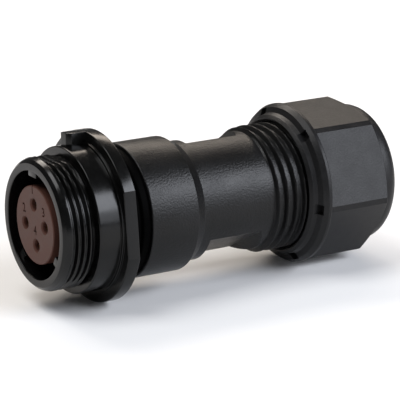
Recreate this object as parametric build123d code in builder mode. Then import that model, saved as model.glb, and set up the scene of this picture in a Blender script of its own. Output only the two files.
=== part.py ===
from build123d import *
from math import cos, radians, sin
import os

# Circular cable connector: a four-way in-line socket. The axis of the connector is X. The mating face is at
# X = 0, the cable end points to +X, and the main key is at the top, +Z. All sizes are in millimetres.

# Contacts and their insert
contact_count = 4
contact_circle = 9.2
contact_turn = -6.0
entry_depth = 1.2
entry_lead = 0.3
socket_diameter = 3.5
pin_hole_diameter = 2.6
pin_hole_depth = 10.0
tine_slot_width = 0.4
tine_slot_depth = 7.0
terminal_diameter = 4.8
terminal_length = 7.0
wire_hole_diameter = 3.0
wire_hole_depth = 5.5
screw_diameter = 2.0
screw_tip_height = 0.5
screw_head_diameter = 3.4
screw_head_height = 1.2
screw_slot_width = 0.5
screw_slot_depth = 0.6
boss_wall = 2.45
face_recess = 0.4
insert_flange_thickness = 4.0
insert_tail_length = 9.5
retainer_length = 3.0

# Coupling end of the front shell: these walls and spaces add up to a thread of 30 mm
sleeve_space = 3.35
thread_wall = 1.9
thread_depth = 0.9
thread_pitch = 1.5
thread_crest = 0.25
thread_root = 0.35
thread_ridges = 3
thread_relief = 0.45
thread_flat_depth = 0.6
lead_in_length = 2.75
land_length = 2.1
land_bevel_length = 1.2
land_bevel_depth = 1.1
well_depth = 10.0
main_key_width = 3.6
side_key_width = 2.2
near_key_angle = 210.0
far_key_angle = 312.0
far_key_setback = 1.3
key_height = 1.2

# Collar, flange and lug
collar_rise = 1.6
collar_length = 5.7
flange_rise = 2.9
flange_thickness = 3.0
flange_flat_depth = 1.5
flange_flat_angle = -6.7
seat_step_width = 0.7
seat_step_height = 0.5
lug_width = 4.2
lug_length = 4.35
lug_offset = 2.1
lug_chamfer = 0.9

# Neck that carries the rear body
ledge_width = 2.95
ledge_thickness = 2.0
neck_wall = 1.2
neck_length = 9.8

# Rubber ring between the flange and the rear body
seal_ring_width = 5.15
seal_ring_height = 1.55
seal_groove_width = 1.4
seal_groove_depth = 0.7
seal_groove_slope = 0.4

# Rear body
barrel_wall = 2.2
barrel_length = 11.85
shoulder_length = 2.6
bore_taper_length = 4.5
waist_rise = 0.1
waist_length = 18.7
flat_depth = 2.4
flat_front_margin = 2.3
flat_rear_margin = 3.0
flat_ramp = 2.0
flat_angle = 62.3

# Gland thread on the rear body
gland_wall = 1.8
gland_depth = 1.1
gland_pitch = 2.4
gland_crest = 1.15
gland_flank = 0.3
gland_ridges = 6
gland_runout = 0.6
tighten_turns = 1.5

# Rubber bush and clamping cage
cable_hole_diameter = 14.4
bush_wall = 2.0
bush_flange_thickness = 2.5
bush_seat_length = 9.7
bush_seat_width = 2.3
bush_room = 2.9
finger_gap = 0.3
finger_thickness = 2.0
finger_clearance = 0.4
finger_count = 8
finger_slot_width = 2.2
cage_ring_length = 4.0
cage_ring_step = 0.6
cage_ring_rim = 0.7

# Gland nut
nut_length = 25.2
nut_setback = 7.9
nut_mouth_flare = 0.5
nut_lip_width = 0.25
nut_lip_rise = 0.65
nut_lip_length = 0.65
nut_throat_length = 1.05
nut_throat_rise = 0.4
nut_face_slope = 0.6
nut_face_rise = 1.2
nut_rim_bevel = 1.2
nut_rim_rise = 0.75
nut_collar_length = 0.8
nut_collar_bevel = 1.4
nut_wall = 1.35
nut_sides = 6
nut_corner_chamfer = 0.8
nut_corner_angle = 67.5
nut_hex_bevel = 1.3
nut_dome_inset = 0.15
nut_dome_length = 4.1
nut_dome_round = 3.3
nut_end_wall = 4.2
nut_cable_edge = 0.8
notch_width = 2.4
notch_depth = 0.7
notch_inset = 0.05
notch_overrun = 0.1

# Clearances and small edges
push_fit = 0.05
running_gap = 0.2
turning_gap = 0.15
end_gap = 0.4
edge_break = 0.3
fine_edge = 0.2
overlap = 0.5

# Stations along the axis, from the mating face
thread_end = lead_in_length + thread_ridges * thread_pitch
collar_front = thread_end + thread_relief
flange_front = collar_front + collar_length
flange_rear = flange_front + flange_thickness
neck_rear = flange_rear + neck_length
ledge_rear = well_depth + ledge_thickness
insert_flange_rear = ledge_rear + insert_flange_thickness
insert_rear = insert_flange_rear + insert_tail_length
socket_front = face_recess + entry_depth
terminal_rear = insert_rear + terminal_length
body_front = flange_rear + seal_ring_width
shoulder_front = body_front + barrel_length
waist_front = shoulder_front + shoulder_length
gland_front = waist_front + waist_length
flat_front = waist_front + flat_front_margin
flat_rear = gland_front - flat_rear_margin
body_rear = gland_front + gland_ridges * gland_pitch + gland_runout
bush_seat = body_rear - bush_seat_length
bush_flange_rear = bush_seat + bush_flange_thickness
tighten_travel = tighten_turns * gland_pitch
finger_tip = bush_flange_rear + end_gap + tighten_travel
nut_front = gland_front + nut_setback
nut_rear = nut_front + nut_length
nut_throat_front = nut_front + nut_lip_length
nut_face_front = nut_throat_front + nut_throat_length
nut_rim_front = nut_face_front + nut_face_slope
nut_collar_front = nut_rim_front + nut_rim_bevel
nut_collar_rear = nut_collar_front + nut_collar_length
nut_hex_front = nut_collar_rear + nut_collar_bevel
nut_hex_end = nut_rear - nut_dome_length
nut_hex_rear = nut_hex_end - nut_hex_bevel
nut_pocket_front = body_rear + tighten_travel + end_gap
nut_end_face = nut_rear - nut_end_wall
cage_ring_rear = nut_end_face - turning_gap
cage_ring_front = cage_ring_rear - cage_ring_length
bush_rear = cage_ring_front - tighten_travel - bush_room

# Radii of the front half, from the contacts outwards
contact_radius = contact_circle / 2
socket_radius = socket_diameter / 2
pin_hole_radius = pin_hole_diameter / 2
terminal_radius = terminal_diameter / 2
boss_radius = contact_radius + socket_radius + push_fit + boss_wall
bore_radius = boss_radius + sleeve_space
thread_root_radius = bore_radius + thread_wall
thread_radius = thread_root_radius + thread_depth
collar_radius = thread_radius + collar_rise
seat_step_radius = collar_radius + seat_step_width
flange_radius = collar_radius + flange_rise
flange_flat_distance = flange_radius - flange_flat_depth
ledge_radius = boss_radius + running_gap
tail_radius = boss_radius - running_gap
neck_bore_radius = ledge_radius + ledge_width
neck_radius = neck_bore_radius + neck_wall
insert_flange_radius = neck_bore_radius - push_fit
neck_seat_radius = neck_radius + push_fit
seal_ring_radius = neck_seat_radius + seal_ring_height
seal_groove_radius = seal_ring_radius - seal_groove_depth
barrel_radius = neck_seat_radius + barrel_wall

# Radii of the cable end, from the cable outwards
cable_hole_radius = cable_hole_diameter / 2
bush_radius = cable_hole_radius + bush_wall
finger_inner_radius = bush_radius + finger_gap
finger_outer_radius = finger_inner_radius + finger_thickness
bush_bore_radius = finger_outer_radius + finger_clearance
bush_flange_radius = bush_bore_radius - running_gap
waist_bore_radius = bush_bore_radius - bush_seat_width
gland_root_radius = bush_bore_radius + gland_wall
gland_radius = gland_root_radius + gland_depth
waist_radius = gland_root_radius + waist_rise
flat_distance = waist_radius - flat_depth
cage_hole_radius = finger_inner_radius - cage_ring_step
cage_ring_radius = finger_outer_radius + cage_ring_rim
cage_pocket_radius = cage_ring_radius + turning_gap
nut_bore_radius = gland_radius + running_gap
nut_mouth_radius = nut_bore_radius + nut_mouth_flare
nut_lip_radius = nut_mouth_radius + nut_lip_width
nut_throat_radius = nut_lip_radius + nut_lip_rise
nut_face_radius = nut_throat_radius + nut_throat_rise
nut_rim_radius = nut_face_radius + nut_face_rise
nut_collar_radius = nut_rim_radius + nut_rim_rise
nut_apothem = nut_bore_radius + nut_wall
nut_corner_radius = nut_apothem / cos(radians(180 / nut_sides))
nut_dome_radius = nut_apothem - nut_dome_inset

# Angles about the axis, from +Y towards +Z
top_angle = 90.0


def reading_order(angle):
    """Contacts are numbered from the top down, and from +Y to -Y where two are level, before they turn."""
    height = sin(radians(angle))
    return -round(height, 6), -cos(radians(angle))


pattern_angle = top_angle + contact_turn
upright_angles = [top_angle + i * 360 / contact_count for i in range(contact_count)]
upright_angles.sort(key=reading_order)
contact_angles = [angle + contact_turn for angle in upright_angles]


def radial_plane(angle, radius=0.0):
    """A plane along X whose second direction points away from the axis at this angle."""
    out_y = cos(radians(angle))
    out_z = sin(radians(angle))
    return Plane(origin=(0, radius * out_y, radius * out_z), x_dir=(1, 0, 0), z_dir=(0, -out_z, out_y))


def coupling_ridges():
    """Outline of the coupling thread: a bevelled land in front, then one trapezium for each ridge."""
    flank = (thread_pitch - thread_crest - thread_root) / 2
    points = [
        (0, thread_radius - land_bevel_depth),
        (land_bevel_length, thread_radius),
        (land_length, thread_radius),
        (land_length + flank, thread_root_radius),
    ]
    for i in range(thread_ridges):
        middle = lead_in_length + (i + 0.5) * thread_pitch
        points.append((middle - thread_crest / 2 - flank, thread_root_radius))
        points.append((middle - thread_crest / 2, thread_radius))
        points.append((middle + thread_crest / 2, thread_radius))
        points.append((middle + thread_crest / 2 + flank, thread_root_radius))
    return points


def gland_thread_ridges():
    """Outline of the coarse gland thread: steep ridges with wide flat crests."""
    points = []
    for i in range(gland_ridges):
        start = gland_front + i * gland_pitch
        foot = waist_radius if i == 0 else gland_root_radius
        points.append((start, foot))
        points.append((start + gland_flank, gland_radius))
        points.append((start + gland_flank + gland_crest, gland_radius))
        points.append((start + 2 * gland_flank + gland_crest, gland_root_radius))
    return points


# Front shell: a turned form with keys in its bore, a lug over the collar, and flats
lug_foot = collar_radius - 2 * overlap
lug_front = flange_front - lug_length
lug_run = lug_length + overlap
keys = [
    (top_angle, main_key_width, 0.0),
    (near_key_angle, side_key_width, 0.0),
    (far_key_angle, side_key_width, far_key_setback),
]
key_depth = key_height + overlap
key_middle = bore_radius + overlap - key_depth / 2
strip_cut = thread_flat_depth + overlap
strip_height = thread_radius - thread_flat_depth + strip_cut / 2
flange_cut = flange_flat_depth + overlap
flange_side = flange_flat_distance + flange_cut / 2
flange_middle = (flange_front + flange_rear) / 2
with BuildPart() as front_shell:
    with BuildSketch(Plane.XY):
        Polygon(
            (0, bore_radius + fine_edge),
            *coupling_ridges(),
            (collar_front, thread_root_radius),
            (collar_front, collar_radius - edge_break),
            (collar_front + edge_break, collar_radius),
            (flange_front - seat_step_height, collar_radius),
            (flange_front - seat_step_height, seat_step_radius),
            (flange_front, seat_step_radius),
            (flange_front, flange_radius - fine_edge),
            (flange_front + fine_edge, flange_radius),
            (flange_rear - fine_edge, flange_radius),
            (flange_rear, flange_radius - fine_edge),
            (flange_rear, neck_radius),
            (neck_rear - edge_break, neck_radius),
            (neck_rear, neck_radius - edge_break),
            (neck_rear, neck_bore_radius),
            (ledge_rear, neck_bore_radius),
            (ledge_rear, ledge_radius),
            (well_depth, ledge_radius),
            (well_depth, bore_radius),
            (fine_edge, bore_radius),
            align=None,
        )
    revolve(axis=Axis.X)
    with BuildSketch(Plane.YZ.offset(lug_front)):
        Circle(flange_radius)
        with Locations((lug_offset, (lug_foot + flange_radius) / 2)):
            Rectangle(lug_width, flange_radius - lug_foot, mode=Mode.INTERSECT)
    extrude(amount=lug_run)
    upright_edges = front_shell.edges().filter_by(Axis.Z)
    lug_corners = upright_edges.filter_by_position(Axis.X, lug_front - fine_edge, lug_front + fine_edge)
    chamfer(lug_corners, length=lug_chamfer)
    for angle, width, setback in keys:
        with BuildSketch(Plane.YZ.offset(setback)):
            with PolarLocations(key_middle, 1, start_angle=angle):
                Rectangle(key_depth, width)
        extrude(amount=well_depth - setback)
    with Locations((collar_front / 2, 0, strip_height), (collar_front / 2, 0, -strip_height)):
        Box(collar_front, 2 * thread_radius, strip_cut, mode=Mode.SUBTRACT)
    for angle in (flange_flat_angle, flange_flat_angle + 180):
        with BuildSketch(radial_plane(angle)):
            with Locations((flange_middle, flange_side)):
                Rectangle(flange_thickness, flange_cut)
        extrude(amount=flange_radius, both=True, mode=Mode.SUBTRACT)

# Insert: the insulating boss inside the bore, with a flange behind the shell's ledge
with BuildPart() as contact_insert:
    with BuildSketch(Plane.XY):
        Polygon(
            (face_recess, 0),
            (face_recess, boss_radius - fine_edge),
            (face_recess + fine_edge, boss_radius),
            (ledge_rear, boss_radius),
            (ledge_rear, insert_flange_radius),
            (insert_flange_rear, insert_flange_radius),
            (insert_flange_rear, tail_radius),
            (insert_rear, tail_radius),
            (insert_rear, 0),
            align=None,
        )
    revolve(axis=Axis.X)
    with BuildSketch(Plane.YZ.offset(face_recess)):
        with PolarLocations(contact_radius, contact_count, start_angle=pattern_angle):
            Circle(pin_hole_radius)
    extrude(amount=entry_depth, mode=Mode.SUBTRACT)
    with BuildSketch(Plane.YZ.offset(socket_front)):
        with PolarLocations(contact_radius, contact_count, start_angle=pattern_angle):
            Circle(socket_radius + push_fit)
    extrude(amount=insert_rear - socket_front, mode=Mode.SUBTRACT)
    entry_face = contact_insert.faces().sort_by(Axis.X)[0]
    chamfer(entry_face.inner_wires().edges(), length=entry_lead)

# Ring that keeps the insert against the ledge
with BuildPart() as insert_retainer:
    with BuildSketch(Plane.YZ.offset(insert_flange_rear)):
        Circle(insert_flange_radius)
        Circle(tail_radius + running_gap, mode=Mode.SUBTRACT)
    extrude(amount=retainer_length)

# Socket contacts: a slotted spring tube in front, a screw terminal behind
sockets = []
for angle in contact_angles:
    socket_plane = radial_plane(angle, contact_radius)
    socket_axis = Axis(socket_plane.origin, socket_plane.x_dir)
    screw_station = terminal_rear - wire_hole_depth / 2
    with BuildPart() as socket_contact:
        with BuildSketch(socket_plane):
            Polygon(
                (socket_front, pin_hole_radius),
                (socket_front, socket_radius - fine_edge),
                (socket_front + fine_edge, socket_radius),
                (insert_rear, socket_radius),
                (insert_rear, terminal_radius),
                (terminal_rear, terminal_radius),
                (terminal_rear, wire_hole_diameter / 2),
                (terminal_rear - wire_hole_depth, wire_hole_diameter / 2),
                (terminal_rear - wire_hole_depth, 0),
                (socket_front + pin_hole_depth, 0),
                (socket_front + pin_hole_depth, pin_hole_radius),
                align=None,
            )
        revolve(axis=socket_axis)
        with BuildSketch(socket_plane):
            with Locations((socket_front + tine_slot_depth / 2, 0)):
                Rectangle(tine_slot_depth, tine_slot_width)
        extrude(amount=socket_radius, both=True, mode=Mode.SUBTRACT)
        with BuildSketch(Plane(socket_plane.origin, x_dir=(1, 0, 0), z_dir=socket_plane.y_dir)):
            with Locations((screw_station, 0)):
                Circle(screw_diameter / 2 + push_fit)
        extrude(amount=terminal_radius, mode=Mode.SUBTRACT)
    sockets.append(socket_contact.part)

# Terminal screws: one slotted screw in each terminal, pointing at its wire
with BuildPart() as terminal_screws:
    for angle in contact_angles:
        socket_plane = radial_plane(angle, contact_radius)
        screw_plane = Plane(socket_plane.origin, x_dir=(1, 0, 0), z_dir=socket_plane.y_dir)
        with BuildSketch(screw_plane.offset(screw_tip_height)):
            with Locations((screw_station, 0)):
                Circle(screw_diameter / 2)
        extrude(amount=terminal_radius - screw_tip_height)
        with BuildSketch(screw_plane.offset(terminal_radius)):
            with Locations((screw_station, 0)):
                Circle(screw_head_diameter / 2)
        extrude(amount=screw_head_height)
        with BuildSketch(screw_plane.offset(terminal_radius + screw_head_height)):
            with Locations((screw_station, 0)):
                Rectangle(screw_slot_width, screw_head_diameter)
        extrude(amount=-screw_slot_depth, mode=Mode.SUBTRACT)

# Rubber ring: two ribs with a groove between them, squeezed by the flange and the rear body
seal_rib_width = (seal_ring_width - seal_groove_width) / 2
groove_front = flange_rear + seal_rib_width
groove_rear = body_front - seal_rib_width
with BuildPart() as body_seal:
    with BuildSketch(Plane.XY):
        Polygon(
            (flange_rear, neck_seat_radius),
            (flange_rear, seal_ring_radius - fine_edge),
            (flange_rear + fine_edge, seal_ring_radius),
            (groove_front, seal_ring_radius),
            (groove_front + seal_groove_slope, seal_groove_radius),
            (groove_rear - seal_groove_slope, seal_groove_radius),
            (groove_rear, seal_ring_radius),
            (body_front - fine_edge, seal_ring_radius),
            (body_front, seal_ring_radius - fine_edge),
            (body_front, neck_seat_radius),
            align=None,
        )
    revolve(axis=Axis.X)

# Rear body: barrel, waist with two spanner flats, and the gland thread
with BuildPart() as rear_body:
    with BuildSketch(Plane.XY):
        Polygon(
            (body_front, neck_seat_radius),
            (body_front, barrel_radius - edge_break),
            (body_front + edge_break, barrel_radius),
            (shoulder_front, barrel_radius),
            (waist_front, waist_radius),
            *gland_thread_ridges(),
            (body_rear - edge_break, gland_root_radius),
            (body_rear, gland_root_radius - edge_break),
            (body_rear, bush_bore_radius),
            (bush_seat, bush_bore_radius),
            (bush_seat, waist_bore_radius),
            (shoulder_front + bore_taper_length, waist_bore_radius),
            (shoulder_front, neck_bore_radius),
            (neck_rear + end_gap, neck_bore_radius),
            (neck_rear + end_gap, neck_seat_radius),
            align=None,
        )
    revolve(axis=Axis.X)
    for angle in (flat_angle, flat_angle + 180):
        with BuildSketch(radial_plane(angle)):
            Polygon(
                (flat_front, flat_distance),
                (flat_rear, flat_distance),
                (flat_rear + flat_ramp, waist_radius),
                (flat_rear + flat_ramp, waist_radius + overlap),
                (flat_front, waist_radius + overlap),
                align=None,
            )
        extrude(amount=waist_radius, both=True, mode=Mode.SUBTRACT)

# Rubber bush that seals on the cable, with a flange on its seat in the rear body
with BuildPart() as gland_seal:
    with BuildSketch(Plane.XY):
        Polygon(
            (bush_seat, cable_hole_radius),
            (bush_seat, bush_flange_radius),
            (bush_flange_rear, bush_flange_radius),
            (bush_flange_rear, bush_radius),
            (bush_rear, bush_radius),
            (bush_rear, cable_hole_radius),
            align=None,
        )
    revolve(axis=Axis.X)

# Clamping cage: a ring in the nut's end, with fingers that reach forward around the bush
with BuildPart() as gland_cage:
    with BuildSketch(Plane.XY):
        Polygon(
            (finger_tip, finger_inner_radius),
            (finger_tip, finger_outer_radius - edge_break),
            (finger_tip + edge_break, finger_outer_radius),
            (cage_ring_front, finger_outer_radius),
            (cage_ring_front, cage_ring_radius),
            (cage_ring_rear, cage_ring_radius),
            (cage_ring_rear, cage_hole_radius),
            (cage_ring_front, cage_hole_radius),
            (cage_ring_front, finger_inner_radius),
            align=None,
        )
    revolve(axis=Axis.X)
    with BuildSketch(Plane.YZ.offset(finger_tip)):
        with PolarLocations(0, finger_count // 2, angular_range=180):
            Rectangle(2 * cage_ring_radius + overlap, finger_slot_width)
    extrude(amount=cage_ring_front - finger_tip, mode=Mode.SUBTRACT)

# Gland nut: a hexagon between a notched round collar and a domed end
hex_slope = nut_hex_bevel / (nut_corner_radius - nut_dome_radius)
hex_reach = nut_collar_radius + overlap
with BuildPart() as gland_nut:
    with BuildSketch(Plane.YZ.offset(nut_collar_front)):
        nut_hexagon = RegularPolygon(nut_apothem, nut_sides, major_radius=False, rotation=nut_corner_angle)
        chamfer(nut_hexagon.vertices(), length=nut_corner_chamfer)
    extrude(amount=nut_hex_end - nut_collar_front)
    with BuildSketch(Plane.XY):
        Polygon(
            (nut_collar_front, 0),
            (nut_collar_front, hex_reach),
            (nut_hex_rear - hex_slope * (hex_reach - nut_corner_radius), hex_reach),
            (nut_hex_end, nut_dome_radius),
            (nut_hex_end, 0),
            align=None,
        )
    revolve(axis=Axis.X, mode=Mode.INTERSECT)
    with BuildSketch(Plane.XY):
        with BuildLine():
            Polyline(
                (nut_rear, nut_dome_radius - nut_dome_round),
                (nut_rear, 0),
                (nut_front, 0),
                (nut_front, nut_lip_radius),
                (nut_throat_front, nut_throat_radius),
                (nut_face_front, nut_face_radius),
                (nut_rim_front, nut_rim_radius),
                (nut_collar_front, nut_collar_radius),
                (nut_collar_rear, nut_collar_radius),
                (nut_hex_front, nut_dome_radius),
                (nut_rear - nut_dome_round, nut_dome_radius),
            )
            dome_centre = (nut_rear - nut_dome_round, nut_dome_radius - nut_dome_round)
            CenterArc(dome_centre, nut_dome_round, 0, 90)
        make_face()
    revolve(axis=Axis.X)
    with BuildSketch(Plane.XY):
        Polygon(
            (nut_front - overlap, 0),
            (nut_front - overlap, nut_mouth_radius),
            (nut_front, nut_mouth_radius),
            (nut_front + nut_mouth_flare, nut_bore_radius),
            (nut_pocket_front, nut_bore_radius),
            (nut_pocket_front, cage_pocket_radius),
            (nut_end_face, cage_pocket_radius),
            (nut_end_face, cage_hole_radius),
            (nut_rear - nut_cable_edge, cage_hole_radius),
            (nut_rear, cage_hole_radius + nut_cable_edge),
            (nut_rear + overlap, cage_hole_radius + nut_cable_edge),
            (nut_rear + overlap, 0),
            align=None,
        )
    revolve(axis=Axis.X, mode=Mode.SUBTRACT)
    notch_inner = nut_throat_radius + notch_inset
    notch_outer = nut_rim_radius + notch_overrun
    with BuildSketch(Plane.YZ.offset(nut_throat_front)):
        with PolarLocations((notch_inner + notch_outer) / 2, nut_sides, start_angle=nut_corner_angle):
            Rectangle(notch_outer - notch_inner, notch_width)
    extrude(amount=nut_rim_front + notch_depth - nut_throat_front, mode=Mode.SUBTRACT)

# Names and files
pieces = {
    "front_shell": front_shell.part,
    "contact_insert": contact_insert.part,
    "insert_retainer": insert_retainer.part,
    "terminal_screws": terminal_screws.part,
    "body_seal": body_seal.part,
    "rear_body": rear_body.part,
    "gland_seal": gland_seal.part,
    "gland_cage": gland_cage.part,
    "gland_nut": gland_nut.part,
}
for number, socket in enumerate(sockets, start=1):
    pieces[f"socket_contact_{number}"] = socket
os.makedirs("parts", exist_ok=True)
for name, piece in pieces.items():
    piece.label = name
    export_step(piece, f"parts/{name}.step")
print(f"thread {2 * thread_radius:.1f} mm, length {nut_rear:.1f} mm")
print(f"tightening travel {tighten_travel:.1f} mm")
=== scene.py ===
# %% [markdown]
# # A four-way cable connector, dressed for its portrait
#
# The solids of the connector are already drawn to size. This script gives them the surfaces of the
# real thing: polished and spark-grained black nylon, a brown thermoset insert with numbered entries,
# rubber and brass. Pieces that are only a plain stand-in in the solids, such as the two screw
# threads, are made again here with their true form.

# %% Load the solids and keep their box
from math import acos, ceil, cos, degrees, pi, radians, sin, sqrt, tan

import bmesh
import bpy
import numpy as np
from mathutils import Matrix, Vector


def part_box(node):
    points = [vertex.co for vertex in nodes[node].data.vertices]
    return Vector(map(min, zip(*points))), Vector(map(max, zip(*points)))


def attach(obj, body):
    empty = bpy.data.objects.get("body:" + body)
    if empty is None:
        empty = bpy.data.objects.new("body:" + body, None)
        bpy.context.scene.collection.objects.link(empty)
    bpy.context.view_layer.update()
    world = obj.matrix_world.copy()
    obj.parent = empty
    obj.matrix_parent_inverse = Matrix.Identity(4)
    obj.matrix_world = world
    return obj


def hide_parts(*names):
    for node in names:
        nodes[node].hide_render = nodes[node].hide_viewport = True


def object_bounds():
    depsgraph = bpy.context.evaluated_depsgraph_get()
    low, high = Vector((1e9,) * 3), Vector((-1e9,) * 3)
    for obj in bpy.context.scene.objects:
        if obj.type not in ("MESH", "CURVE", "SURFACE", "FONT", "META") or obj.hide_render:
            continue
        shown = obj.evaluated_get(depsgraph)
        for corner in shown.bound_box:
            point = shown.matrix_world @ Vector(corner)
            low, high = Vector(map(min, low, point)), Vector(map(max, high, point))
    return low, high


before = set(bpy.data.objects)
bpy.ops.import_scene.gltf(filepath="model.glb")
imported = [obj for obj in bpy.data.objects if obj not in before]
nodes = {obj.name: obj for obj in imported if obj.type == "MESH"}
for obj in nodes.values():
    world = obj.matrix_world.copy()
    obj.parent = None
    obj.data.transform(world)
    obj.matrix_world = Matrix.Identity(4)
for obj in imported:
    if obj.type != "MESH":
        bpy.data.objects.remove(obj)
solid_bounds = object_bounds()
mm = 0.001

# %% [markdown]
# ## The camera
#
# A long lens flattens the perspective of a product photograph. The camera here stands half a metre
# away, a little to the left of the connector's side and sixteen degrees above it, so that the open
# front end is the nearest part. Its place was found by matching the rims of the real connector,
# circle by circle, with the circles of the solids.

# %% Place the camera
camera_aim = Vector((35.8, -11.8, 3.2)) * mm
camera_distance = 520 * mm
camera_azimuth = radians(31.24)
camera_elevation = radians(15.87)
camera_roll = radians(-0.32)
camera_lens = 209.8
camera_sensor = 36.0

view_direction = Vector((
    cos(camera_elevation) * sin(camera_azimuth),
    cos(camera_elevation) * cos(camera_azimuth),
    -sin(camera_elevation),
))
camera_data = bpy.data.cameras.new("camera")
camera_data.lens = camera_lens
camera_data.sensor_width = camera_sensor
camera = bpy.data.objects.new("camera", camera_data)
bpy.context.scene.collection.objects.link(camera)
level = view_direction.to_track_quat("-Z", "Y").to_matrix().to_4x4()
camera.matrix_world = Matrix.Translation(camera_aim - view_direction * camera_distance) @ level
camera.matrix_world @= Matrix.Rotation(camera_roll, 4, "Z")
bpy.context.scene.camera = camera
print("camera at", tuple(round(v, 4) for v in camera.matrix_world.translation))

# %% [markdown]
# ## Two small helpers for node trees
#
# Materials and geometry are both built from nodes here. One function adds a node, sets what it is
# told and links what it is given. Colours are written as sRGB hex values, the way a colour picker
# shows them, and one function turns them into the linear values that a renderer works with.


# %% Define the node helper and the colour helper
def add(tree, kind, inputs=(), **settings):
    """Adds a node and returns its outputs. Inputs are values or sockets, in order or by key."""
    node = tree.nodes.new(kind)
    for name, value in settings.items():
        setattr(node, name, value)
    for key, value in inputs.items() if isinstance(inputs, dict) else enumerate(inputs):
        if isinstance(value, bpy.types.NodeSocket):
            tree.links.new(value, node.inputs[key])
        else:
            node.inputs[key].default_value = value
    return node.outputs


def linear(hex_colour, alpha=1.0):
    """Turns an sRGB hex colour into linear red, green, blue and alpha."""
    shares = [int(hex_colour[i:i + 2], 16) / 255 for i in (1, 3, 5)]
    return [s / 12.92 if s <= 0.04045 else ((s + 0.055) / 1.055) ** 2.4 for s in shares] + [alpha]


print("a mid grey of #808080 is", round(linear("#808080")[0], 3), "in linear light")


# %% [markdown]
# ## The finishes
#
# All the mouldings are nylon or a like plastic, with an index of refraction near 1.5. What tells them
# apart is the tool they were moulded in. A polished cavity leaves a gloss that shows the lamps as
# clear patches, with a slight waviness from shrinkage. A spark-eroded cavity leaves a fine grain that
# spreads the same lamps into soft bands. One recipe covers both: a grain for the bump, and a slow
# mottle that moves the colour and the gloss a little.


# %% Make the moulded plastics
def moulded(name, dark, light, roughness, gloss_change, specular, grain_mm, grain_depth_mm, mottle_mm):
    """A moulded plastic: two close colours, its gloss, and its grain and mottle in millimetres."""
    material = bpy.data.materials.new(name)
    material.use_nodes = True
    tree = material.node_tree
    surface = tree.nodes["Principled BSDF"]
    surface.inputs["IOR"].default_value = 1.5
    surface.inputs["Specular IOR Level"].default_value = specular
    place = add(tree, "ShaderNodeTexCoord")["Object"]
    mottle_scale = 1 / (mottle_mm * mm)
    grain_scale = 1 / (grain_mm * mm)
    mottle = add(tree, "ShaderNodeTexNoise", {"Vector": place, "Scale": mottle_scale, "Detail": 3.0})["Fac"]
    grain = add(tree, "ShaderNodeTexNoise", {"Vector": place, "Scale": grain_scale, "Detail": 2.0})["Fac"]
    both = add(tree, "ShaderNodeMix", {0: 0.5, 2: mottle, 3: grain})[0]
    share = add(tree, "ShaderNodeMapRange", [both, 0.35, 0.65])[0]
    colour = add(tree, "ShaderNodeMix", {0: share, 6: linear(dark), 7: linear(light)}, data_type="RGBA")[2]
    least = roughness - gloss_change
    most = roughness + gloss_change
    gloss = add(tree, "ShaderNodeMapRange", [share, 0.0, 1.0, least, most])[0]
    depth = grain_depth_mm * mm
    bump = add(tree, "ShaderNodeBump", {"Height": grain, "Strength": 1.0, "Distance": depth})[0]
    tree.links.new(colour, surface.inputs["Base Color"])
    tree.links.new(gloss, surface.inputs["Roughness"])
    tree.links.new(bump, surface.inputs["Normal"])
    return material


# From a polished cavity: each lamp is a clear patch with a soft edge, and the rest of the surface is
# nearly black
polished_nylon = moulded(
    "black nylon, polished mould", "#050505", "#090909", roughness=0.2, gloss_change=0.04,
    specular=0.26, grain_mm=1.1, grain_depth_mm=0.006, mottle_mm=9.0)
# From a spark-eroded cavity: the lamps spread into long grey bands with a fine speckle. The real
# grain, about 0.06 mm, is too fine for the picture and is drawn seven times as coarse.
grained_nylon = moulded(
    "black nylon, spark-grained mould", "#080808", "#0f0f10", roughness=0.36, gloss_change=0.06,
    specular=0.24, grain_mm=0.42, grain_depth_mm=0.075, mottle_mm=6.0)
# From a blasted cavity: an even charcoal that shows each flat of the nut as one tone. Drawn coarser,
# in the same way.
nut_nylon = moulded(
    "charcoal nylon, blasted mould", "#0f0f10", "#161617", roughness=0.42, gloss_change=0.05,
    specular=0.21, grain_mm=0.42, grain_depth_mm=0.035, mottle_mm=3.5)
# Pressed and cured in a satin tool: a dull mauve-brown, the only colour on the connector, slightly
# clouded by its filler
brown_thermoset = moulded(
    "mauve-brown thermoset, satin mould", "#4f342c", "#583a32", roughness=0.45, gloss_change=0.06,
    specular=0.16, grain_mm=0.3, grain_depth_mm=0.006, mottle_mm=4.0)
# Straight from a plain machined tool: a half gloss that is only glimpsed inside the cable hole
inner_nylon = moulded(
    "black nylon, machined mould", "#0c0c0d", "#131314", roughness=0.42, gloss_change=0.05,
    specular=0.3, grain_mm=0.4, grain_depth_mm=0.008, mottle_mm=5.0)
print("plastics:", len(bpy.data.materials) - len(nodes), "made")

# %% [markdown]
# ## Rubber and metal
#
# The rubber rings are moulded in a satin tool. Their colour is painted darker than black rubber's own,
# as painted shade, and they reflect almost nothing. The sockets are turned brass: the tool leaves
# fine rings along the axis, which a stretched noise draws. They are drawn three times as coarse as
# the real feed marks, because those would be too fine to see. The terminal screws are zinc-plated
# steel.

# %% Make the rubber, the brass and the plated steel
# Black rubber, painted darker than rubber is as painted shade for the gap between flange and body,
# with almost no reflection: only a faint line of light on each rib
rubber_with_painted_shade = moulded(
    "black rubber with painted shade, satin mould", "#020202", "#050505", roughness=0.55, gloss_change=0.05,
    specular=0.01, grain_mm=0.25, grain_depth_mm=0.006, mottle_mm=3.0)


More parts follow.
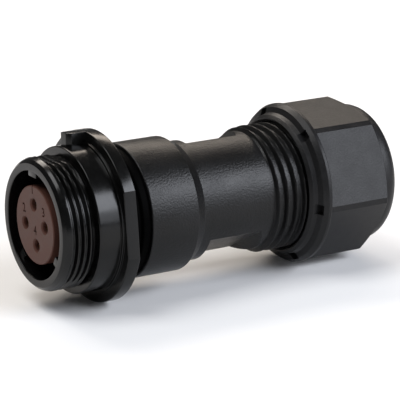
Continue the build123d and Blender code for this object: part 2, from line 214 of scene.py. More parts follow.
def turned_metal(name, dark, light, roughness, feed_mm):
    """A metal turned on a lathe along X, with rings that are feed_mm apart."""
    material = bpy.data.materials.new(name)
    material.use_nodes = True
    tree = material.node_tree
    surface = tree.nodes["Principled BSDF"]
    surface.inputs["Metallic"].default_value = 1.0
    place = add(tree, "ShaderNodeTexCoord")["Object"]
    stretched = add(tree, "ShaderNodeMapping", {"Vector": place, "Scale": (1.0, 0.05, 0.05)})[0]
    rings = add(tree, "ShaderNodeTexNoise", {"Vector": stretched, "Scale": 1 / (feed_mm * mm)})["Fac"]
    colour = add(tree, "ShaderNodeMix", {0: rings, 6: linear(dark), 7: linear(light)}, data_type="RGBA")[2]
    gloss = add(tree, "ShaderNodeMapRange", [rings, 0.0, 1.0, roughness * 0.7, roughness * 1.3])[0]
    bump = add(tree, "ShaderNodeBump", {"Height": rings, "Distance": 0.01 * mm})[0]
    tree.links.new(colour, surface.inputs["Base Color"])
    tree.links.new(gloss, surface.inputs["Roughness"])
    tree.links.new(bump, surface.inputs["Normal"])
    return material


# Yellow metal with fine rings: a warm glint at the bottom of each contact entry
turned_brass = turned_metal("brass, turned", "#a8803f", "#c9a35e", 0.3, 0.15)
# Bright grey metal: small cool glints on the screw heads, seen through the cable hole
plated_steel = turned_metal("steel, turned and zinc plated", "#9a9a9c", "#b9b9bb", 0.35, 0.15)
print("finishes:", sorted(m.name for m in bpy.data.materials if m.use_nodes))

# %% [markdown]
# ## Turned shapes
#
# Nearly every piece of the connector is round. A lathe would make it by following an outline, so the
# outline is what is drawn here: a list of corners, each with its place along the axis, its radius,
# and the rounding of that corner. The rounding matters, because a real moulding has no sharp edge,
# and the thin light line along each rim is the lamp in that rounded edge. The rows are then carried
# round the axis into one closed skin.


# %% Define the outline helpers
def rounded(corners, steps=6):
    """Rows of an outline (closed) whose corners (place, radius, rounding) are replaced by arcs."""
    rows = []
    count = len(corners)
    for i, (x, r, rounding) in enumerate(corners):
        corner = Vector((x, r))
        before = Vector(corners[i - 1][:2]) - corner
        after = Vector(corners[(i + 1) % count][:2]) - corner
        half = before.angle(after) / 2
        if rounding == 0 or half > radians(89.5):
            rows.append((x, r))
            continue
        reach = min(rounding / tan(half), 0.9 * min(before.length, after.length))
        middle = corner + (before.normalized() + after.normalized()).normalized() * reach / cos(half)
        start = corner + before.normalized() * reach - middle
        sweep = start.angle_signed(corner + after.normalized() * reach - middle)
        for k in range(steps + 1):
            turned = Matrix.Rotation(-sweep * k / steps, 2) @ start
            rows.append(tuple(middle + turned))
    return rows


def between(start, end, spacing):
    """Evenly spaced places from start to end, both included."""
    return [float(v) for v in np.linspace(start, end, ceil((end - start) / spacing) + 1)]


# %% Define the lathe helpers
def columns_through(count, angles=()):
    """Evenly spaced angles in degrees, with the nearest ones moved to the angles that an edge needs."""
    columns = np.arange(count) * 360 / count
    for angle in angles:
        gap = np.abs((columns - angle + 180) % 360 - 180)
        columns[np.argmin(gap)] = angle % 360
    return np.sort(columns)


def lathe(name, rows, columns, rule=None):
    """Carries an outline in millimetres round the X axis. A rule may change each point's radius."""
    place = np.array([row[0] for row in rows])[:, None] * np.ones(len(columns))
    radius = np.array([row[1] for row in rows])[:, None] * np.ones(len(columns))
    angle = np.radians(columns)[None, :] * np.ones((len(rows), 1))
    if rule:
        radius = rule(place, radius, angle)
    points = np.stack([place, radius * np.cos(angle), radius * np.sin(angle)], axis=-1) * mm
    across = len(columns)
    faces = []
    for i in range(len(rows)):
        below = ((i + 1) % len(rows)) * across
        for j in range(across):
            beside = (j + 1) % across
            faces.append((i * across + j, below + j, below + beside, i * across + beside))
    mesh = bpy.data.meshes.new(name)
    mesh.from_pydata(points.reshape(-1, 3).tolist(), [], faces)
    return make_piece(name, mesh)


def make_piece(name, mesh):
    """Links an object for a mesh, with its faces turned outwards."""
    shape = bmesh.new()
    shape.from_mesh(mesh)
    bmesh.ops.recalc_face_normals(shape, faces=shape.faces)
    shape.to_mesh(mesh)
    shape.free()
    piece = bpy.data.objects.new(name, mesh)
    bpy.context.scene.collection.objects.link(piece)
    return piece


# %% Define how a piece is cut and finished
edge_limit = radians(20)
merge_distance = 0.0005 * mm


def settle(piece, material):
    """Turns a piece's modifiers into a plain mesh, and shades it smooth up to its true edges."""
    depsgraph = bpy.context.evaluated_depsgraph_get()
    mesh = bpy.data.meshes.new_from_object(piece.evaluated_get(depsgraph))
    piece.modifiers.clear()
    piece.data = mesh
    shape = bmesh.new()
    shape.from_mesh(mesh)
    bmesh.ops.remove_doubles(shape, verts=shape.verts, dist=merge_distance)
    bmesh.ops.dissolve_degenerate(shape, edges=shape.edges, dist=merge_distance)
    for face in shape.faces:
        face.smooth = True
        face.material_index = 0
    for edge in shape.edges:
        edge.smooth = edge.calc_face_angle(pi) < edge_limit
    open_edges = sum(not edge.is_manifold for edge in shape.edges)
    shape.to_mesh(mesh)
    shape.free()
    mesh.materials.clear()
    mesh.materials.append(material)
    mesh.calc_loop_triangles()
    print(piece.name, "triangles:", len(mesh.loop_triangles), "open edges:", open_edges)
    return piece


def cut_or_join(piece, other, operation):
    """Cuts another closed shape from a piece, or joins it on, and removes the other shape."""
    step = piece.modifiers.new(operation.lower(), "BOOLEAN")
    step.operation = operation
    step.solver = "MANIFOLD"
    step.object = other
    mesh = bpy.data.meshes.new_from_object(piece.evaluated_get(bpy.context.evaluated_depsgraph_get()))
    piece.modifiers.clear()
    piece.data = mesh
    bpy.data.objects.remove(other)
    return piece


# %% [markdown]
# ## A screw thread in Geometry Nodes
#
# A thread is a rule: the radius at each point depends only on how far along the axis and how far
# round it lies. So one node tree cuts both threads of the connector. It reads each point's place,
# works out where that point lies between two turns of the helix, and lifts it from the root to the
# crest. The thread fades in and out over a short length, as the tool's does, and a flat on two sides
# may cut the crests.

# %% Open the thread tree and name its inputs
screw = bpy.data.node_groups.new("screw thread", "GeometryNodeTree")
screw.interface.new_socket("Geometry", in_out="INPUT", socket_type="NodeSocketGeometry")
screw.interface.new_socket("Geometry", in_out="OUTPUT", socket_type="NodeSocketGeometry")
screw_lengths = ("Start", "End", "Fade", "Pitch", "Crest width", "Flank width")
screw_radii = ("Land radius", "Root radius", "Crest radius", "Flat")
for size_name in screw_lengths + screw_radii + ("Lead angle",):
    screw.interface.new_socket(size_name, in_out="INPUT", socket_type="NodeSocketFloat")
screw.interface.new_socket("Material", in_out="INPUT", socket_type="NodeSocketMaterial")
given = add(screw, "NodeGroupInput")
print("thread inputs:", [socket.name for socket in given if socket.name])

# %% Find how far each point lies from the crest of the helix
point = add(screw, "ShaderNodeSeparateXYZ", [add(screw, "GeometryNodeInputPosition")[0]])
around = add(screw, "ShaderNodeMath", [point["Z"], point["Y"]], operation="ARCTAN2")[0]
turn = add(screw, "ShaderNodeMath", [around, 2 * pi], operation="DIVIDE")[0]
lead = add(screw, "ShaderNodeMath", [given["Lead angle"], 360.0], operation="DIVIDE")[0]
turned_back = add(screw, "ShaderNodeMath", [lead, turn], operation="SUBTRACT")[0]
along = add(screw, "ShaderNodeMath", [point["X"], given["Start"]], operation="SUBTRACT")[0]
travel = add(screw, "ShaderNodeMath", [along, given["Pitch"]], operation="DIVIDE")[0]
phase = add(screw, "ShaderNodeMath", [travel, turned_back], operation="ADD")[0]
phase = add(screw, "ShaderNodeMath", [phase], operation="FRACT")[0]
from_crest = add(screw, "ShaderNodeMath", [phase, 0.5], operation="SUBTRACT")[0]
from_crest = add(screw, "ShaderNodeMath", [from_crest], operation="ABSOLUTE")[0]
from_crest = add(screw, "ShaderNodeMath", [from_crest, given["Pitch"]], operation="MULTIPLY")[0]
print("helix:", len(screw.nodes), "nodes")

# %% Work out the radius there, with a soft start and end
crest_edge = add(screw, "ShaderNodeMath", [given["Crest width"], 0.5], operation="MULTIPLY")[0]
foot = add(screw, "ShaderNodeMath", [crest_edge, given["Flank width"]], operation="ADD")[0]
rise = add(screw, "ShaderNodeMapRange", [from_crest, crest_edge, foot, 1.0, 0.0],
           interpolation_type="SMOOTHSTEP")[0]
last_turn = add(screw, "ShaderNodeMath", [given["End"], given["Fade"]], operation="SUBTRACT")[0]
fade_out = add(screw, "ShaderNodeMapRange", [point["X"], last_turn, given["End"], 1.0, 0.0],
               interpolation_type="SMOOTHSTEP")[0]
rise = add(screw, "ShaderNodeMath", [rise, fade_out], operation="MULTIPLY")[0]
thread_height = add(screw, "ShaderNodeMath", [given["Crest radius"], given["Root radius"]],
                    operation="SUBTRACT")[0]
radius_thread = add(screw, "ShaderNodeMath", [rise, thread_height, given["Root radius"]],
                    operation="MULTIPLY_ADD")[0]
first_turn = add(screw, "ShaderNodeMath", [given["Start"], given["Fade"]], operation="ADD")[0]
fade_in = add(screw, "ShaderNodeMapRange", [point["X"], given["Start"], first_turn],
              interpolation_type="SMOOTHSTEP")[0]
radius_new = add(screw, "ShaderNodeMix", {0: fade_in, 2: given["Land radius"], 3: radius_thread})[0]
print("radius:", len(screw.nodes), "nodes")

# %% Move the points, cut the flats and coat the result
off_axis = add(screw, "ShaderNodeCombineXYZ", {"Y": point["Y"], "Z": point["Z"]})[0]
radius_now = add(screw, "ShaderNodeVectorMath", [off_axis], operation="LENGTH")["Value"]
stretch = add(screw, "ShaderNodeMath", [radius_new, radius_now], operation="DIVIDE")[0]
side = add(screw, "ShaderNodeMath", [point["Y"], stretch], operation="MULTIPLY")[0]
height = add(screw, "ShaderNodeMath", [point["Z"], stretch], operation="MULTIPLY")[0]
height = add(screw, "ShaderNodeMath", [height, given["Flat"]], operation="MINIMUM")[0]
low_flat = add(screw, "ShaderNodeMath", [given["Flat"], -1.0], operation="MULTIPLY")[0]
height = add(screw, "ShaderNodeMath", [height, low_flat], operation="MAXIMUM")[0]
moved = add(screw, "ShaderNodeCombineXYZ", [point["X"], side, height])[0]
behind_start = add(screw, "ShaderNodeMath", [point["X"], given["Start"]], operation="GREATER_THAN")[0]
before_end = add(screw, "ShaderNodeMath", [point["X"], given["End"]], operation="LESS_THAN")[0]
skin_depth = 0.5 * mm
wall = add(screw, "ShaderNodeMath", [given["Root radius"], skin_depth], operation="SUBTRACT")[0]
outer_skin = add(screw, "ShaderNodeMath", [radius_now, wall], operation="GREATER_THAN")[0]
chosen = add(screw, "ShaderNodeMath", [behind_start, before_end], operation="MULTIPLY")[0]
chosen = add(screw, "ShaderNodeMath", [chosen, outer_skin], operation="MULTIPLY")[0]
cut = add(screw, "GeometryNodeSetPosition", {
    "Geometry": given["Geometry"], "Selection": chosen, "Position": moved})[0]
real = add(screw, "GeometryNodeRealizeInstances", [cut])[0]
coated = add(screw, "GeometryNodeSetMaterial", {"Geometry": real, "Material": given["Material"]})[0]
add(screw, "NodeGroupOutput", {"Geometry": coated})
print("thread tree:", len(screw.nodes), "nodes")


# %% Define how a piece uses a tree
def use_tree(piece, tree, **values):
    """Gives a piece a node tree, sets each value by its socket's identifier, and makes the result plain."""
    step = piece.modifiers.new(tree.name, "NODES")
    step.node_group = tree
    identifiers = {s.name: s.identifier for s in tree.interface.items_tree if s.in_out == "INPUT"}
    for name, value in values.items():
        step[identifiers[name.replace("_", " ")]] = value
    depsgraph = bpy.context.evaluated_depsgraph_get()
    piece.data = bpy.data.meshes.new_from_object(piece.evaluated_get(depsgraph))
    piece.modifiers.remove(step)
    return piece


# %% [markdown]
# ## The front shell
#
# The shell is the glossy end that mates. Its outline runs from the rim of the mating face over the
# coupling thread, the collar and the flange to the neck inside the rear body, and back through the
# bore. The flange has two flats, so its radius follows a rule: a circle, or a straight side where
# that is nearer. The lug on the collar and the three keys in the bore are small rounded blocks,
# joined on.


# %% Read the sizes that the solids give
def reach(node):
    """Front, rear and radius of a node, in millimetres."""
    low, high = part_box(node)
    return low.x / mm, high.x / mm, high.z / mm


shell_front, neck_rear, flange_radius = reach("front_shell")
seal_front, body_front, seal_radius = reach("body_seal")
_, body_rear, barrel_radius = reach("rear_body")
nut_front, nut_rear, nut_collar_radius = reach("gland_nut")
insert_front = reach("contact_insert")[0]
print("flange", round(2 * flange_radius, 2), "wide, nut", round(nut_rear - nut_front, 2), "long")

# %% Draw the outline of the front shell
bore_radius = 12.2
rim_radius = 13.9
root_radius = 14.1
thread_radius = 15.0
thread_pitch = 1.5
thread_start = 1.7
thread_end = 7.6
thread_flat = 14.4
collar_front = 7.7
collar_radius = 16.6
step_front = 12.9
step_radius = 17.3
flange_front = 13.4
flange_rear = seal_front
neck_radius = 13.2
neck_bore = 12.0
ledge_front = 10.0
ledge_rear = 12.0
ledge_radius = 9.05

shell_rows = rounded([
    (shell_front, bore_radius, 0.2),
    (shell_front, rim_radius, 0.25),
    (0.7, 14.6, 0.6),
    (1.3, 14.88, 0.8),
    (thread_start, thread_radius, 0.0),
    (thread_start + 0.06, root_radius, 0.0),
    (collar_front, root_radius, 0.1),
    (collar_front, collar_radius, 0.3),
    (step_front, collar_radius, 0.1),
    (step_front, step_radius, 0.15),
    (flange_front, step_radius, 0.08),
    (flange_front, flange_radius, 0.25),
    (flange_rear, flange_radius, 0.25),
    (flange_rear, neck_radius, 0.1),
    (neck_rear, neck_radius, 0.3),
    (neck_rear, neck_bore, 0.1),
    (ledge_rear, neck_bore, 0.1),
    (ledge_rear, ledge_radius, 0.1),
    (ledge_front, ledge_radius, 0.1),
    (ledge_front, bore_radius, 0.1),
])
land_row = shell_rows.index((thread_start, thread_radius))
thread_places = between(thread_start + 0.12, thread_end, 0.06)
shell_rows[land_row + 2:land_row + 2] = [(x, root_radius) for x in thread_places]
print("shell outline:", len(shell_rows), "rows")


# %% Turn the shell, flatten its flange and cut the coupling thread
flange_flat = 18.0
flange_flat_turn = -6.7
coupling_crest = 0.04
coupling_flank = 0.66
coupling_fade = 0.4
coupling_lead = 288.0


def flange_flats(place, radius, angle):
    """Draws the flange in to its two flats, and leaves what lies within the step as it is."""
    straight = flange_flat / np.maximum(np.abs(np.cos(angle - radians(flange_flat_turn))), 0.1)
    rim = np.minimum(flange_radius, straight)
    share = (radius - step_radius) / (flange_radius - step_radius)
    on_flange = (place > flange_front - 0.01) & (place < flange_rear + 0.01) & (radius > step_radius)
    return np.where(on_flange, step_radius + share * (rim - step_radius), radius)


flat_spread = degrees(acos(flange_flat / flange_radius))
flat_edges = [flange_flat_turn + side + edge for side in (0, 180) for edge in (-flat_spread, flat_spread)]
shell = lathe("shell_moulding", shell_rows, columns_through(240, flat_edges), flange_flats)
use_tree(shell, screw, Start=thread_start * mm, End=thread_end * mm, Fade=coupling_fade * mm,
         Pitch=thread_pitch * mm, Crest_width=coupling_crest * mm, Flank_width=coupling_flank * mm,
         Land_radius=thread_radius * mm, Root_radius=root_radius * mm, Crest_radius=thread_radius * mm,
         Flat=thread_flat * mm, Lead_angle=coupling_lead, Material=polished_nylon)
print("shell turned:", len(shell.data.polygons), "faces")


# %% Define a block with soft edges
def block(name, outline, low, high, rounding, cap=None):
    """An upright block over (x, y) corners, in millimetres. A cap bends its top to a radius."""
    shape = bmesh.new()
    foot = shape.faces.new([shape.verts.new((x * mm, y * mm, low * mm)) for x, y in outline])
    raised = bmesh.ops.extrude_face_region(shape, geom=[foot])["geom"]
    top = [part for part in raised if isinstance(part, bmesh.types.BMVert)]
    bmesh.ops.translate(shape, verts=top, vec=(0, 0, (high - low) * mm))
    if cap:
        sides = [y for x, y in outline]
        for y in between(min(sides), max(sides), 0.6)[1:-1]:
            everything = shape.verts[:] + shape.edges[:] + shape.faces[:]
            bmesh.ops.bisect_plane(shape, geom=everything, plane_co=(0, y * mm, 0), plane_no=(0, 1, 0))
        for vert in shape.verts:
            if vert.co.z > (low + high) / 2 * mm:
                vert.co.z = sqrt((cap * mm) ** 2 - vert.co.y**2)
    corners = [edge for edge in shape.edges if edge.calc_face_angle() > radians(30)]
    bmesh.ops.bevel(shape, geom=corners, offset=rounding * mm, segments=3, profile=0.5, affect="EDGES")
    mesh = bpy.data.meshes.new(name)
    shape.to_mesh(mesh)
    shape.free()
    return make_piece(name, mesh)


# %% Join the lug and the keys to the shell
lug_front = 9.05
lug_near = 0.0
lug_far = 4.2
lug_chamfer = 0.9
lug_root = flange_front + 1.0
lug_foot = collar_radius - 1.0
lug_rounding = 0.12
lug_outline = [
    (lug_front, lug_near + lug_chamfer),
    (lug_front + lug_chamfer, lug_near),
    (lug_root, lug_near),
    (lug_root, lug_far),
    (lug_front + lug_chamfer, lug_far),
    (lug_front, lug_far - lug_chamfer),
]
lug = block("lug", lug_outline, lug_foot, flange_radius, lug_rounding, cap=flange_radius)
cut_or_join(shell, lug, "UNION")
key_height = 1.2
key_sink = 0.6
key_rounding = 0.15
key_rear = ledge_front + 0.5
for key_angle, key_width, setback in ((90, 3.6, 0.02), (210, 2.2, 0.02), (312, 2.2, 1.3)):
    front = shell_front + setback
    side = key_width / 2
    key_outline = [(front, -side), (key_rear, -side), (key_rear, side), (front, side)]
    key = block("key", key_outline, bore_radius - key_height, bore_radius + key_sink, key_rounding)
    key.data.transform(Matrix.Rotation(radians(key_angle - 90), 4, "X"))
    cut_or_join(shell, key, "UNION")
settle(shell, polished_nylon)
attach(shell, "shell")
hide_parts("front_shell")

# %% [markdown]
# ## The rubber ring
#
# Between the flange and the body sits a rubber ring with two round ribs. Its colour carries painted
# shade for the gap it sits in, so it is nearly lost, and only the crowns of the ribs catch a line of light.

# %% Make the rubber ring
seal_bore = 13.25
groove_radius = 14.1
rib_width = 1.85
seal_rows = rounded([
    (seal_front, seal_bore, 0.1),
    (seal_front, seal_radius, 0.4),
    (seal_front + rib_width, seal_radius, 0.4),
    (seal_front + rib_width + 0.4, groove_radius, 0.2),
    (body_front - rib_width - 0.4, groove_radius, 0.2),
    (body_front - rib_width, seal_radius, 0.4),
    (body_front, seal_radius, 0.4),
    (body_front, seal_bore, 0.1),
])
# The ring's rubber is painted darker than rubber, as painted shade for the gap between flange and body
seal_ring = settle(lathe("seal_ring", seal_rows, columns_through(180)), rubber_with_painted_shade)
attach(seal_ring, "shell")
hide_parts("body_seal")

# %% [markdown]
# ## The rear body
#
# The body is turned in shape too, but two spanner flats are cut across its waist, and each ends in a
# ramp. A flat is again a rule on the radius: the plane's distance, divided by the cosine of the angle
# from its middle. The coarse gland thread comes from the same tree as the coupling thread, with other
# sizes.

# %% Draw the outline of the rear body
shoulder_front = 33.4
waist_front = 36.0
waist_radius = 13.8
flat_front = 38.3
flat_rear = 51.7
ramp_rear = 53.7
flat_distance = 11.4
flat_angles = (62.3, 242.3)
gland_start = 54.2
gland_end = 69.4
gland_root = 13.7
gland_crest = 14.8
gland_pitch = 2.4
bush_seat = 60.0
bush_bore = 11.9
waist_bore = 9.6
taper_rear = 37.9
neck_stop = 26.6

body_rows = rounded([
    (body_front, seal_bore, 0.1),
    (body_front, barrel_radius, 0.35),
    (shoulder_front, barrel_radius, 0.5),
    (waist_front, waist_radius, 0.7),
    (gland_start, waist_radius, 0.0),
    (gland_start + 0.4, gland_root, 0.0),
    (body_rear, gland_root, 0.3),
    (body_rear, bush_bore, 0.15),
    (bush_seat, bush_bore, 0.1),
    (bush_seat, waist_bore, 0.2),
    (taper_rear, waist_bore, 0.6),
    (shoulder_front, neck_bore, 0.6),
    (neck_stop, neck_bore, 0.1),
    (neck_stop, seal_bore, 0.05),
])
waist_places = between(waist_front + 1.2, flat_front - 0.02, 0.5)
waist_places += between(flat_front + 0.02, flat_rear - 0.3, 0.6)
waist_places += between(flat_rear - 0.15, ramp_rear + 0.15, 0.1)
gland_places = between(gland_start + 0.5, gland_end, 0.09)
waist_row = body_rows.index((gland_start, waist_radius))
body_rows[waist_row + 2:waist_row + 2] = [(x, gland_root) for x in gland_places]
body_rows[waist_row:waist_row] = [(x, waist_radius) for x in waist_places]
print("body outline:", len(body_rows), "rows")


# %% Turn the body, cut its flats and its thread
def spanner_flats(place, radius, angle):
    """Cuts two flats across the waist, each with a square front and a ramp at the rear."""
    ramp = np.clip((place - flat_rear) / (ramp_rear - flat_rear), 0, 1)
    distance = flat_distance + ramp * (waist_radius - flat_distance)
    on_waist = (place > flat_front) & (place < ramp_rear) & (radius > gland_root)
    for flat_angle in flat_angles:
        facing = np.cos(angle - radians(flat_angle))
        straight = distance / np.maximum(facing, 0.1)
        radius = np.where(on_waist & (facing > 0.1), np.minimum(radius, straight), radius)
    return radius


gland_crest_width = 0.02
gland_flank_width = 0.72
gland_fade = 0.7
gland_lead = 195.0
waist_spread = degrees(acos(flat_distance / waist_radius))
waist_edges = [side + edge for side in flat_angles for edge in (-waist_spread, waist_spread)]
body = lathe("body_moulding", body_rows, columns_through(240, waist_edges), spanner_flats)
use_tree(body, screw, Start=gland_start * mm, End=gland_end * mm, Fade=gland_fade * mm,
         Pitch=gland_pitch * mm, Crest_width=gland_crest_width * mm, Flank_width=gland_flank_width * mm,
         Land_radius=waist_radius * mm, Root_radius=gland_root * mm, Crest_radius=gland_crest * mm,
         Flat=barrel_radius * mm, Lead_angle=gland_lead, Material=grained_nylon)
settle(body, grained_nylon)
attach(body, "shell")
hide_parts("rear_body")

# %% [markdown]
# ## The gland nut
#
# The nut is a hexagon between a round collar and a dome. Its corners are broken by narrow flats, and
# cones cut the hexagon at both ends, as on any turned nut. All of that is one rule: at each point the
# radius is the smallest of the hexagon, the corner flats and the rear cone, but never less than the
# round core. Six notches in the front of the collar, one at each corner, repeat round the axis, so a
# node tree places their cutters.

# %% Draw the outline of the nut
lip_radius = 15.75
throat_front = 63.25
throat_radius = 16.4
face_front = 64.3
face_radius = 16.8
rim_front = 64.9
rim_edge_radius = 18.0
collar_start = 66.1
collar_end = 66.9
hex_front = 68.3
hex_apothem = 16.35
hex_corner_angle = 67.5
hex_sides = 6
corner_chamfer = 0.8
hex_rear = 82.4
hex_end = 83.7
dome_radius = 16.2
dome_round = 3.3
nut_bore = 15.0
mouth_flare = 0.5
pocket_front = 73.7
pocket_radius = 12.35
end_face = 83.6
cable_hole = 8.9
cable_edge = 0.8

corner_radius = hex_apothem / cos(pi / hex_sides)
corner_flat = corner_radius - corner_chamfer * sin(pi / hex_sides)
nut_rows = rounded([
    (nut_front, nut_bore + mouth_flare, 0.1),
    (nut_front, lip_radius, 0.12),
    (throat_front, throat_radius, 0.3),
    (face_front, face_radius, 0.15),
    (rim_front, rim_edge_radius, 0.3),
    (collar_start, nut_collar_radius, 0.4),
    (collar_end, nut_collar_radius, 0.3),
    (hex_front, dome_radius, 0.0),
    (hex_end, dome_radius, 0.0),
    (nut_rear, dome_radius, dome_round),
    (nut_rear, cable_hole + cable_edge, 0.15),
    (nut_rear - cable_edge, cable_hole, 0.15),
    (end_face, cable_hole, 0.1),
    (end_face, pocket_radius, 0.1),
    (pocket_front, pocket_radius, 0.1),
    (pocket_front, nut_bore, 0.1),
    (nut_front + mouth_flare, nut_bore, 0.1),
])
hex_row = nut_rows.index((hex_front, dome_radius))
collar_slope = (nut_collar_radius - dome_radius) / (hex_front - collar_end)
bevel_places = between(collar_end + 0.15, hex_front - 0.05, 0.07)
nut_rows[hex_row:hex_row] = [(x, nut_collar_radius - (x - collar_end) * collar_slope) for x in bevel_places]
hex_row = nut_rows.index((hex_front, dome_radius))
hex_places = between(hex_front + 0.4, hex_rear - 0.4, 1.7) + between(hex_rear - 0.2, hex_end - 0.05, 0.07)
nut_rows[hex_row + 1:hex_row + 1] = [(x, dome_radius) for x in hex_places]
print("nut outline:", len(nut_rows), "rows")


# %% Turn the nut and lift its hexagon
def soft_min(a, b, blend):
    """The smaller of two values, with a rounded change from one to the other."""
    share = np.clip(0.5 + 0.5 * (b - a) / blend, 0, 1)
    return b + (a - b) * share - blend * share * (1 - share)


def hexagon(place, radius, angle):
    """Lifts the core of the nut to its hexagon, with broken corners and a cone at the rear."""
    step = 2 * pi / hex_sides
    from_corner = (angle - radians(hex_corner_angle) + step / 2) % step - step / 2
    flats = hex_apothem / np.cos(step / 2 - np.abs(from_corner))
    corners = corner_flat / np.cos(from_corner)
    cone = corner_radius - (place - hex_rear) * (corner_radius - dome_radius) / (hex_end - hex_rear)
    prism = soft_min(np.minimum(flats, corners), cone, 0.12)
    on_prism = (place > collar_end + 0.1) & (place < hex_end) & (radius > nut_bore + 0.5)
    return np.where(on_prism, np.maximum(radius, prism), radius)


band = degrees(np.arctan(corner_chamfer * cos(pi / hex_sides) / corner_flat))
corner_angles = [hex_corner_angle + i * 360 / hex_sides for i in range(hex_sides)]
band_edges = [angle + edge for angle in corner_angles for edge in (-band, band)]
nut = lathe("nut_moulding", nut_rows, columns_through(288, band_edges), hexagon)
print("corner bands", round(2 * band, 2), "degrees wide")

# %% Build the tree that cuts the notches
notches = bpy.data.node_groups.new("notches round a nut", "GeometryNodeTree")
notches.interface.new_socket("Geometry", in_out="INPUT", socket_type="NodeSocketGeometry")
notches.interface.new_socket("Geometry", in_out="OUTPUT", socket_type="NodeSocketGeometry")
notches.interface.new_socket("Count", in_out="INPUT", socket_type="NodeSocketInt")
for size_name in ("Ring radius", "Station", "First angle", "Length", "Width", "Depth"):
    notches.interface.new_socket(size_name, in_out="INPUT", socket_type="NodeSocketFloat")
notches.interface.new_socket("Material", in_out="INPUT", socket_type="NodeSocketMaterial")
given = add(notches, "NodeGroupInput")
ring = add(notches, "GeometryNodeMeshCircle", {
    "Vertices": given["Count"], "Radius": given["Ring radius"]})[0]
cutter_size = add(notches, "ShaderNodeCombineXYZ", [given["Length"], given["Width"], given["Depth"]])[0]
cutter = add(notches, "GeometryNodeMeshCube", {"Size": cutter_size})[0]
ring_point = add(notches, "GeometryNodeInputPosition")[0]
outwards = add(notches, "FunctionNodeAlignRotationToVector", {"Vector": ring_point},
               axis="X", pivot_axis="Z")[0]
cutters = add(notches, "GeometryNodeInstanceOnPoints", {
    "Points": ring, "Instance": cutter, "Rotation": outwards})[0]
first = add(notches, "ShaderNodeCombineXYZ", {"Z": given["First angle"]})[0]
cutters = add(notches, "GeometryNodeTransform", {"Geometry": cutters, "Rotation": first})[0]
station = add(notches, "ShaderNodeCombineXYZ", {"X": given["Station"]})[0]
cutters = add(notches, "GeometryNodeTransform", {
    "Geometry": cutters, "Translation": station, "Rotation": (pi / 2, 0, pi / 2)})[0]
cutters = add(notches, "GeometryNodeRealizeInstances", [cutters])[0]
notched = add(notches, "GeometryNodeMeshBoolean", {
    "Mesh 1": given["Geometry"], "Mesh 2": cutters}, operation="DIFFERENCE", solver="MANIFOLD")[0]
real = add(notches, "GeometryNodeRealizeInstances", [notched])[0]
coated = add(notches, "GeometryNodeSetMaterial", {"Geometry": real, "Material": given["Material"]})[0]
add(notches, "NodeGroupOutput", {"Geometry": coated})
print("notch tree:", len(notches.nodes), "nodes")

# %% Cut the notches and finish the nut
notch_inner = 16.45
notch_outer = 18.1
notch_front = 62.9
notch_floor = 65.6
notch_width = 2.4
use_tree(nut, notches, Count=hex_sides, Ring_radius=(notch_inner + notch_outer) / 2 * mm,
         Station=(notch_front + notch_floor) / 2 * mm, First_angle=radians(hex_corner_angle),
         Length=(notch_outer - notch_inner) * mm, Width=notch_width * mm,
         Depth=(notch_floor - notch_front) * mm, Material=nut_nylon)
settle(nut, nut_nylon)
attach(nut, "nut")
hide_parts("gland_nut")

# %% [markdown]
# ## The insert and its numbers
#
# The insert keeps the shape of its solid. The four numbers are engraved above their entries, so that
# whoever wires the connector can tell the contacts apart. Each number starts as text, becomes a solid
# letter, and is cut into the face.

# %% Engrave the insert
number_height = 2.0
number_rise = 3.3
number_depth = 0.6
number_weight = 0.04
capital_share = 0.7
contact_circle_radius = 4.6
contact_turn = -6.0
number_places = {"1": (0, 1), "2": (1, 0), "3": (-1, 0), "4": (0, -1)}

insert_mesh = nodes["contact_insert"].data.copy()
shape = bmesh.new()
shape.from_mesh(insert_mesh)
bmesh.ops.remove_doubles(shape, verts=shape.verts, dist=merge_distance)
shape.to_mesh(insert_mesh)
shape.free()
insert = bpy.data.objects.new("insert_moulding", insert_mesh)
bpy.context.scene.collection.objects.link(insert)
reading = Matrix(((0, 0, -1, 0), (-1, 0, 0, 0), (0, 1, 0, 0), (0, 0, 0, 1)))
for number, (across, upwards) in number_places.items():
    text = bpy.data.curves.new("number_" + number, "FONT")
    text.body = number
    text.size = number_height / capital_share * mm
    text.align_x = "CENTER"
    text.align_y = "CENTER"
    text.extrude = number_depth * mm
    text.offset = number_weight * mm
    text.resolution_u = 6
    letter = bpy.data.objects.new("number_" + number, text)
    bpy.context.scene.collection.objects.link(letter)
    mesh = bpy.data.meshes.new_from_object(letter.evaluated_get(bpy.context.evaluated_depsgraph_get()))
    bpy.data.objects.remove(letter)
    height = upwards * contact_circle_radius + number_rise
    upright = Vector((insert_front, across * contact_circle_radius, height)) * mm
    mesh.transform(Matrix.Rotation(radians(contact_turn), 4, "X") @ Matrix.Translation(upright) @ reading)
    shape = bmesh.new()
    shape.from_mesh(mesh)
    bmesh.ops.remove_doubles(shape, verts=shape.verts, dist=merge_distance)
    shape.to_mesh(mesh)
    shape.free()
    cut_or_join(insert, make_piece("number_" + number, mesh), "DIFFERENCE")
settle(insert, brown_thermoset)
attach(insert, "shell")
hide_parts("contact_insert")

# %% [markdown]
# ## The pieces inside
#
# The sockets, screws, retainer, rubber bush and clamping cage are seen only through the entries and
# the cable hole, and their solids have the right shape. They keep it, and get their own finish.

# %% Give the inner solids their finishes
inner_finishes = {
    "insert_retainer": inner_nylon,
    "gland_cage": inner_nylon,
    "gland_seal": rubber_with_painted_shade,
    # The inner bush takes the same rubber, darkened with painted shade
    "terminal_screws": plated_steel,
}
for number in number_places:
    inner_finishes["socket_contact_" + number] = turned_brass
for node_name, finish in inner_finishes.items():
    nodes[node_name].data.materials.clear()
    nodes[node_name].data.materials.append(finish)
print("inner solids:", sorted(inner_finishes))

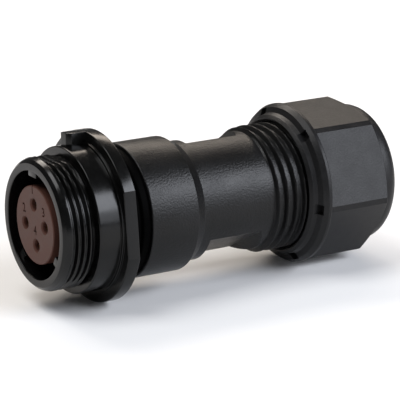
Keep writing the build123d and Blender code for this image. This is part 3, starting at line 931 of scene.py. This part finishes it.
# %% [markdown]
# ## The studio
#
# Black plastic has hardly any colour of its own: what the eye sees is the lamps in it. A broad soft
# lamp to the right of the camera, with a white card below it, makes the bright patch on the collar
# and the near side of the nut. Two warm ones, behind and above, light the tops and the far side, and
# one over the front end falls into the contact entries. The floor is plain and pale, and the rest of
# the room is a dim even light.


# %% Set the lamps and the room
def soft_lamp(name, direction, distance, width, height, colour, power):
    """A flat lamp that faces the middle of the connector, from a direction and a distance."""
    lamp_data = bpy.data.lights.new(name, "AREA")
    lamp_data.shape = "RECTANGLE"
    lamp_data.size = width
    lamp_data.size_y = height
    lamp_data.color = linear(colour)[:3]
    lamp_data.energy = power
    lamp = bpy.data.objects.new(name, lamp_data)
    bpy.context.scene.collection.objects.link(lamp)
    towards = Vector(direction).normalized()
    middle = Vector((nut_rear / 2, 0, 0)) * mm
    lamp.matrix_world = Matrix.Translation(middle + towards * distance) @ (
        (-towards).to_track_quat("-Z", "Y").to_matrix().to_4x4())
    return lamp


soft_lamp("side lamp", (0.465, -0.698, 0.545), 1.0, 0.79, 0.44, "#f2f6ff", 11.1)
soft_lamp("side card", (0.543, -0.814, 0.208), 1.0, 0.79, 0.3, "#f2f6ff", 2.6)
soft_lamp("rear lamp", (0.46, 0.6, 0.62), 1.0, 0.64, 0.2, "#fff1e2", 2.7)
soft_lamp("back lamp", (-0.01, 0.69, 0.73), 1.0, 0.5, 0.35, "#fff6ec", 4.4)
soft_lamp("top lamp", (-0.4, 0.04, 0.92), 1.0, 0.6, 0.5, "#ffffff", 5.6)
room = bpy.data.worlds.new("room")
room.use_nodes = True
room.node_tree.nodes["Background"].inputs["Color"].default_value = linear("#ffffff")
room.node_tree.nodes["Background"].inputs["Strength"].default_value = 0.11
bpy.context.scene.world = room
bpy.context.scene.view_settings.view_transform = "Standard"
print("lamps:", sorted(lamp.name for lamp in bpy.data.lights))

# %% Lay the floor
# Rolled matt paper: an even pale ground, which the black plastic mirrors from below
paper = bpy.data.materials.new("white paper, rolled matt")
paper.use_nodes = True
sheet = paper.node_tree.nodes["Principled BSDF"]
sheet.inputs["Base Color"].default_value = linear("#e4e4e4")
sheet.inputs["Roughness"].default_value = 0.9
sheet.inputs["Specular IOR Level"].default_value = 0.1
floor_height = min(solid_bounds[0][2], solid_bounds[1][2])
floor_size = 3.0
floor_signs = ((-1, -1), (1, -1), (1, 1), (-1, 1))
floor_corners = [(x * floor_size, y * floor_size, floor_height) for x, y in floor_signs]
floor_mesh = bpy.data.meshes.new("floor")
floor_mesh.from_pydata(floor_corners, [], [(0, 1, 2, 3)])
floor_mesh.materials.append(paper)
floor = bpy.data.objects.new("floor", floor_mesh)
bpy.context.scene.collection.objects.link(floor)
print("floor at", round(floor_height / mm, 2), "mm")

# %% [markdown]
# ## The size of the solids
#
# The dressed connector is meant to fill the same box as its solids. Only the box of the solids is printed.

# %% Print the box of the solids and finish
print("box of the solids:", [tuple(round(v / mm, 2) for v in corner) for corner in solid_bounds])
